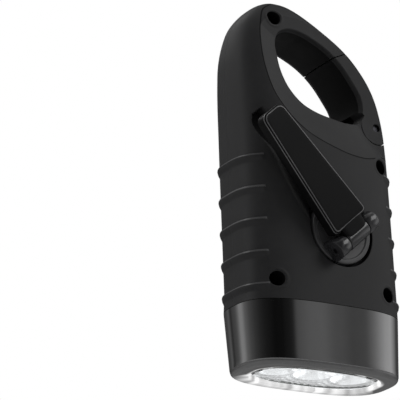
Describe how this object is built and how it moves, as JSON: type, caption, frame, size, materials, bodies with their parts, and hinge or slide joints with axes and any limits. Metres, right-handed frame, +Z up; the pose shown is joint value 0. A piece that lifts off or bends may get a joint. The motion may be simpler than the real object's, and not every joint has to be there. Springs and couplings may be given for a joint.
{
  "type": "hand crank flashlight",
  "caption": "Flat oval hand crank flashlight with a solar panel, a folding crank on its back, a lens in its base and a carrying loop with a snap gate.",
  "frame": {"origin": "on the base plane, under the middle of the whole part's box", "axes": "+Z up from the lens to the carrying loop, -Y out of the solar panel, +Y out of the crank, +X towards the loop's solid side"},
  "size_m": [0.0619, 0.0393, 0.1299],
  "materials": {
    "casing": "soft-touch black",
    "bezel": "polished, satin rim round the lens",
    "trim": "semi-gloss",
    "crank": "satin black",
    "steel": "satin",
    "solar": "clear-coated cell strips",
    "chrome": "mirror",
    "clear": "clear",
    "light": "clear dome",
    "board": "solder resist",
    "gear": "moulded",
    "coil": "enamelled copper wire",
    "battery": "shrink sleeve",
    "seal": "matte"
  },
  "bodies": {
    "casing": {"head_bezel": "bezel", "lens_seal": "seal", "lens": "clear", "reflector": "chrome", "led_left": "light", "led_centre": "light", "led_right": "light", "led_board": "board", "front_shell": "casing", "back_shell": "casing", "solar_frame": "trim", "solar_cell": "solar", "circuit_board": "board", "battery_cell": "battery", "switch_body": "trim", "gate_pin": "steel", "gate_spring": "steel", "idler_pin": "steel", "second_idler_pin": "steel", "gear_plate": "steel", "generator_case": "steel", "stator_coil": "coil", "plate_screw_1": "steel", "plate_screw_2": "steel", "plate_screw_3": "steel", "case_screw_1": "steel", "case_screw_2": "steel", "case_screw_3": "steel", "case_screw_4": "steel"},
    "crank": {"crank_hub": "crank", "hinge_pin": "steel", "crank_shaft": "steel", "drive_gear": "gear"},
    "arm": {"crank_arm": "crank", "knob_screw": "steel"},
    "knob": {"crank_knob": "crank"},
    "gate": {"gate": "casing"},
    "button": {"power_button": "seal"},
    "idler": {"idler_gear": "gear"},
    "second_idler": {"second_idler_gear": "gear"},
    "rotor": {"generator_rotor": "steel"}
  },
  "joints": [
    {"name": "crank_spin", "type": "hinge", "parent": "casing", "child": "crank", "pos_m": [-0.0035, 0.01, 0.04679], "axis": [0, 1, 0], "continuous": true},
    {"name": "crank_fold", "type": "hinge", "parent": "crank", "child": "arm", "pos_m": [-0.00547, 0.0155, 0.04453], "axis": [-0.7547, 0, 0.6561], "range_deg": [0, 172]},
    {"name": "knob_spin", "type": "hinge", "parent": "arm", "child": "knob", "pos_m": [0.0232, 0.01626, 0.07751], "axis": [-0.0114, 0.9998, -0.0132], "continuous": true},
    {"name": "gate_swing", "type": "hinge", "parent": "casing", "child": "gate", "pos_m": [-0.02454, -0.0033, 0.08853], "axis": [0, 1, 0], "range_deg": [0, 25], "stiffness_Nm_per_rad": 0.03, "springref_deg": -22.92},
    {"name": "button_press", "type": "slide", "parent": "casing", "child": "button", "axis": [1, 0, 0], "range_m": [0, 0.0012], "stiffness_N_per_m": 900, "springref_m": -0.001},
    {"name": "idler_spin", "type": "hinge", "parent": "casing", "child": "idler", "pos_m": [-0.01176, 0.0051, 0.05859], "axis": [0, 1, 0], "continuous": true},
    {"name": "second_idler_spin", "type": "hinge", "parent": "casing", "child": "second_idler", "pos_m": [-0.00102, 0.0027, 0.06556], "axis": [0, 1, 0], "continuous": true},
    {"name": "rotor_spin", "type": "hinge", "parent": "casing", "child": "rotor", "pos_m": [0.00818, -0.00303, 0.05667], "axis": [0, 1, 0], "continuous": true}
  ],
  "couplings": [
    {"joint": "idler_spin", "follows": "crank_spin", "ratio": -3.5},
    {"joint": "second_idler_spin", "follows": "crank_spin", "ratio": 10.5},
    {"joint": "rotor_spin", "follows": "crank_spin", "ratio": -31.5}
  ]
}
